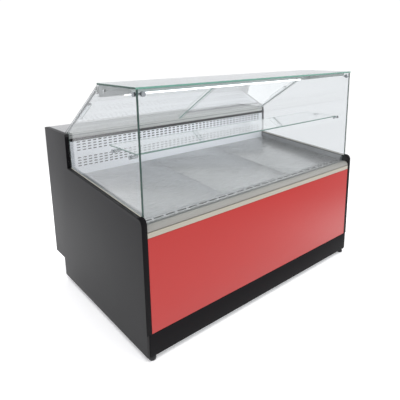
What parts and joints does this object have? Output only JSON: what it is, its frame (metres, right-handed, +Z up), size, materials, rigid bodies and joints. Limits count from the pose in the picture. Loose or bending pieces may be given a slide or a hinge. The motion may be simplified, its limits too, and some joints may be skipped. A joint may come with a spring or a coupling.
{
  "type": "refrigerated serve-over counter",
  "caption": "Flat-glass refrigerated serve-over display counter with sliding rear panes, deck trays, glass shelf, storage doors and a built-in condensing unit.",
  "frame": {"origin": "centre of the base, on the floor", "axes": "+Z up, +Y towards the server's side, +X along the counter to the customer's right"},
  "size_m": [1.5, 1.02, 1.163],
  "materials": {
    "graphite_painted_steel": "graphite grey powder coat, fine texture",
    "graphite_panel": "graphite grey moulded end panel, satin",
    "black_edge_trim": "black extruded edge trim",
    "black_painted_steel": "black powder coat",
    "red_painted_steel": "red satin paint on sheet steel",
    "grey_extrusion": "light grey anodised extrusion",
    "beige_trim": "warm light grey trim",
    "stainless": "brushed stainless steel",
    "white_enamel": "white enamelled sheet",
    "clear_glass": "clear toughened glass, green polished edges",
    "satin_aluminium": "satin anodised aluminium",
    "lamp_diffuser": "opal diffuser of the lamp, lit",
    "chrome": "polished chrome plating",
    "galvanised": "galvanised sheet steel",
    "black_plastic": "black moulded plastic",
    "coil_fins": "aluminium fins on tube"
  },
  "bodies": {
    "cabinet": {"air_return_grille": "stainless", "base_pan": "galvanised", "cable_gland": "black_plastic", "cold_well": "stainless", "compressor": "black_painted_steel", "condensate_tray": "galvanised", "condenser_coil": "coil_fins", "condenser_shroud": "galvanised", "control_fascia": "graphite_painted_steel", "evaporator_coil": "coil_fins", "evaporator_fan_plate": "galvanised", "front_glass": "clear_glass", "front_panel": "red_painted_steel", "front_rail": "grey_extrusion", "front_trim_band": "beige_trim", "lamp_housing": "satin_aluminium", "lamp_tube": "lamp_diffuser", "left_corner_clamp": "chrome", "left_end_panel": "graphite_panel", "left_front_edge_strip": "black_edge_trim", "left_front_shelf_stud": "chrome", "left_rear_shelf_stud": "chrome", "left_side_glass": "clear_glass", "left_top_bracket": "satin_aluminium", "left_upper_edge_strip": "black_edge_trim", "lower_door_track": "grey_extrusion", "machine_cover": "graphite_painted_steel", "plinth": "black_painted_steel", "rear_air_panel": "white_enamel", "rear_frame": "graphite_painted_steel", "right_corner_clamp": "chrome", "right_end_panel": "graphite_panel", "right_front_edge_strip": "black_edge_trim", "right_front_shelf_stud": "chrome", "right_rear_shelf_stud": "chrome", "right_side_glass": "clear_glass", "right_top_bracket": "satin_aluminium", "right_upper_edge_strip": "black_edge_trim", "thermostat": "black_plastic", "top_glass": "clear_glass", "upper_door_track": "grey_extrusion", "worktop": "stainless"},
    "left_sliding_door": {"left_sliding_pane": "clear_glass", "left_pane_pull": "clear_glass"},
    "right_sliding_door": {"right_sliding_pane": "clear_glass", "right_pane_pull": "clear_glass"},
    "left_cupboard_leaf": {"left_storage_door": "graphite_painted_steel"},
    "right_cupboard_leaf": {"right_storage_door": "graphite_painted_steel"},
    "left_tray": {"left_deck_tray": "stainless"},
    "centre_tray": {"centre_deck_tray": "stainless"},
    "right_tray": {"right_deck_tray": "stainless"},
    "glass_shelf": {"shelf": "clear_glass"},
    "left_cold_fan": {"left_evaporator_fan": "black_plastic"},
    "right_cold_fan": {"right_evaporator_fan": "black_plastic"},
    "warm_fan": {"condenser_fan": "black_plastic"},
    "rocker": {"main_switch": "black_plastic"},
    "foot_left_front": {"left_front_foot": "black_plastic"},
    "foot_right_front": {"right_front_foot": "black_plastic"},
    "foot_left_rear": {"left_rear_foot": "black_plastic"},
    "foot_right_rear": {"right_rear_foot": "black_plastic"}
  },
  "joints": [
    {"name": "left_door_slide", "type": "slide", "parent": "cabinet", "child": "left_sliding_door", "axis": [1, 0, 0], "range_m": [0, 0.668]},
    {"name": "right_door_slide", "type": "slide", "parent": "cabinet", "child": "right_sliding_door", "axis": [1, 0, 0], "range_m": [-0.668, 0]},
    {"name": "left_storage_hinge", "type": "hinge", "parent": "cabinet", "child": "left_cupboard_leaf", "pos_m": [-0.708, 0.498, 0.4445], "axis": [0, 0, 1], "range_deg": [0, 105]},
    {"name": "right_storage_hinge", "type": "hinge", "parent": "cabinet", "child": "right_cupboard_leaf", "pos_m": [0.194, 0.498, 0.4445], "axis": [0, 0, 1], "range_deg": [-105, 0]},
    {"name": "left_tray_lift", "type": "slide", "parent": "cabinet", "child": "left_tray", "axis": [0, 0, 1], "range_m": [0, 0.12]},
    {"name": "centre_tray_lift", "type": "slide", "parent": "cabinet", "child": "centre_tray", "axis": [0, 0, 1], "range_m": [0, 0.12]},
    {"name": "right_tray_lift", "type": "slide", "parent": "cabinet", "child": "right_tray", "axis": [0, 0, 1], "range_m": [0, 0.12]},
    {"name": "shelf_lift", "type": "slide", "parent": "cabinet", "child": "glass_shelf", "axis": [0, 0, 1], "range_m": [0, 0.1]},
    {"name": "left_cold_fan_spin", "type": "hinge", "parent": "cabinet", "child": "left_cold_fan", "pos_m": [-0.21, -0.153, 0.554], "axis": [0, 1, 0], "continuous": true},
    {"name": "right_cold_fan_spin", "type": "hinge", "parent": "cabinet", "child": "right_cold_fan", "pos_m": [0.21, -0.153, 0.554], "axis": [0, 1, 0], "continuous": true},
    {"name": "warm_fan_spin", "type": "hinge", "parent": "cabinet", "child": "warm_fan", "pos_m": [0.405, 0.378, 0.283], "axis": [0, 1, 0], "continuous": true},
    {"name": "switch_rock", "type": "hinge", "parent": "cabinet", "child": "rocker", "pos_m": [0.54, 0.502, 0.805], "axis": [1, 0, 0], "range_deg": [-14, 0]},
    {"name": "left_front_foot_turn", "type": "hinge", "parent": "cabinet", "child": "foot_left_front", "pos_m": [-0.719, -0.492, 0.012], "axis": [0, 0, 1], "continuous": true},
    {"name": "right_front_foot_turn", "type": "hinge", "parent": "cabinet", "child": "foot_right_front", "pos_m": [0.719, -0.492, 0.012], "axis": [0, 0, 1], "continuous": true},
    {"name": "left_rear_foot_turn", "type": "hinge", "parent": "cabinet", "child": "foot_left_rear", "pos_m": [-0.719, 0.362, 0.012], "axis": [0, 0, 1], "continuous": true},
    {"name": "right_rear_foot_turn", "type": "hinge", "parent": "cabinet", "child": "foot_right_rear", "pos_m": [0.719, 0.362, 0.012], "axis": [0, 0, 1], "continuous": true}
  ]
}
